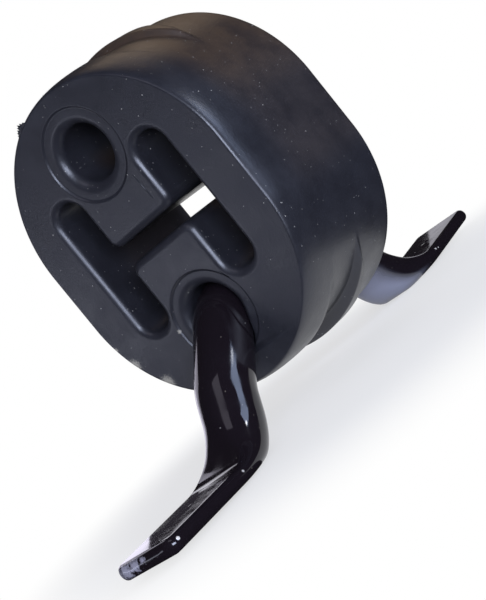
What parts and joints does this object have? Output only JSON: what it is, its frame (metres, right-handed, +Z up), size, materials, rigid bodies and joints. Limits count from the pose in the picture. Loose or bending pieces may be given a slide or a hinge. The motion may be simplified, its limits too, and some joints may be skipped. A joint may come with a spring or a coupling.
{
  "type": "exhaust hanger",
  "caption": "Rubber exhaust hanger block with an H-shaped slot and round eyes, carried on a bent steel tube bracket whose pressed-flat ends form weld feet.",
  "frame": {"origin": "on the floor plane of the foot undersides, under the middle of the block", "axes": "+Z up, +Y along the tube from the front face to the rear face of the block, +X to the right seen from the front"},
  "size_m": [0.0674, 0.1608, 0.0919],
  "materials": {
    "rubber": "satin near-black moulded rubber with pale dust specks",
    "black_enamel": "glossy black enamel on steel tube"
  },
  "bodies": {
    "root": {"rubber_block": "rubber", "tube_bracket": "black_enamel"}
  },
  "joints": []
}
